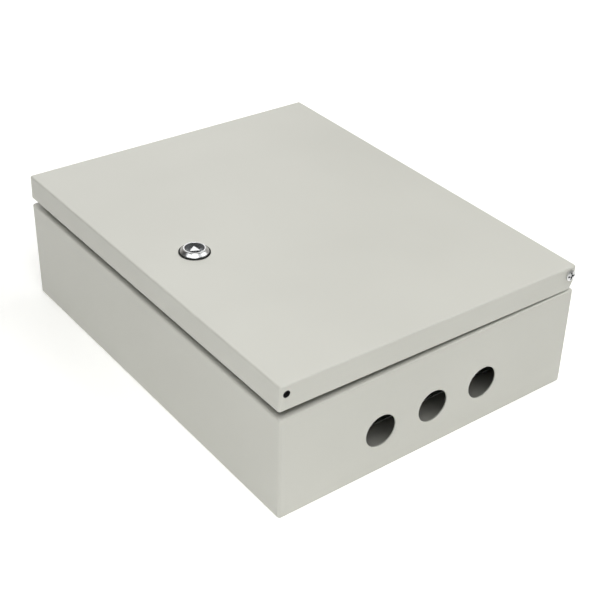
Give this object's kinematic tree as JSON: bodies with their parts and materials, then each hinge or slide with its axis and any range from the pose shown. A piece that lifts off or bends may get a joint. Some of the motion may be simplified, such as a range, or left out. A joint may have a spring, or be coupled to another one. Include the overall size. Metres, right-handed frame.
{
  "type": "wall-mount sheet-steel electrical enclosure",
  "caption": "Shallow wall-mount sheet-steel electrical enclosure lying on its back: folded body with round cable entries, hinged gasketed door and quarter-turn key lock.",
  "frame": {"origin": "centre of the back's outer face, on the surface that the enclosure lies on", "axes": "+X to the door's hinge side, +Y to the cabinet's top end, +Z out of the door"},
  "size_m": [0.3103, 0.3974, 0.131],
  "materials": {
    "powder_coat": "fine satin",
    "chrome_plate": "polished",
    "gasket_foam": "foamed, matte",
    "seal_rubber": "matte",
    "galvanised_sheet": "satin",
    "zinc_plate": "bright zinc"
  },
  "bodies": {
    "cabinet": {"body_earth_nut": "zinc_plate", "body_earth_stud": "zinc_plate", "body_earth_washer": "zinc_plate", "body_wrap": "powder_coat", "bottom_end_wall": "powder_coat", "hinge_bracket_lower": "zinc_plate", "hinge_bracket_upper": "zinc_plate", "hinge_screw_lower": "chrome_plate", "hinge_screw_upper": "chrome_plate", "mounting_plate": "galvanised_sheet", "plate_nut_1": "zinc_plate", "plate_nut_2": "zinc_plate", "plate_nut_3": "zinc_plate", "plate_nut_4": "zinc_plate", "plate_spacer_nut_1": "zinc_plate", "plate_spacer_nut_2": "zinc_plate", "plate_spacer_nut_3": "zinc_plate", "plate_spacer_nut_4": "zinc_plate", "plate_stud_1": "zinc_plate", "plate_stud_2": "zinc_plate", "plate_stud_3": "zinc_plate", "plate_stud_4": "zinc_plate", "plate_washer_1": "zinc_plate", "plate_washer_2": "zinc_plate", "plate_washer_3": "zinc_plate", "plate_washer_4": "zinc_plate", "top_end_wall": "powder_coat"},
    "door": {"door_earth_nut": "zinc_plate", "door_earth_stud": "zinc_plate", "door_earth_washer": "zinc_plate", "door_gasket": "gasket_foam", "door_panel": "powder_coat", "lock_housing": "chrome_plate", "lock_nut": "zinc_plate", "lock_seal": "seal_rubber"},
    "lock_core": {"lock_driver": "chrome_plate", "driver_clip": "zinc_plate", "lock_cam": "zinc_plate", "cam_washer": "zinc_plate", "cam_screw": "zinc_plate"}
  },
  "joints": [
    {"name": "door_hinge", "type": "hinge", "parent": "cabinet", "child": "door", "pos_m": [0.1485, 0, 0.113], "axis": [0, 1, 0], "range_deg": [0, 115]},
    {"name": "lock_turn", "type": "hinge", "parent": "door", "child": "lock_core", "pos_m": [-0.10248, -0.0022, 0.12626], "axis": [0.0209, 0, 0.9998], "range_deg": [0, 90]}
  ]
}
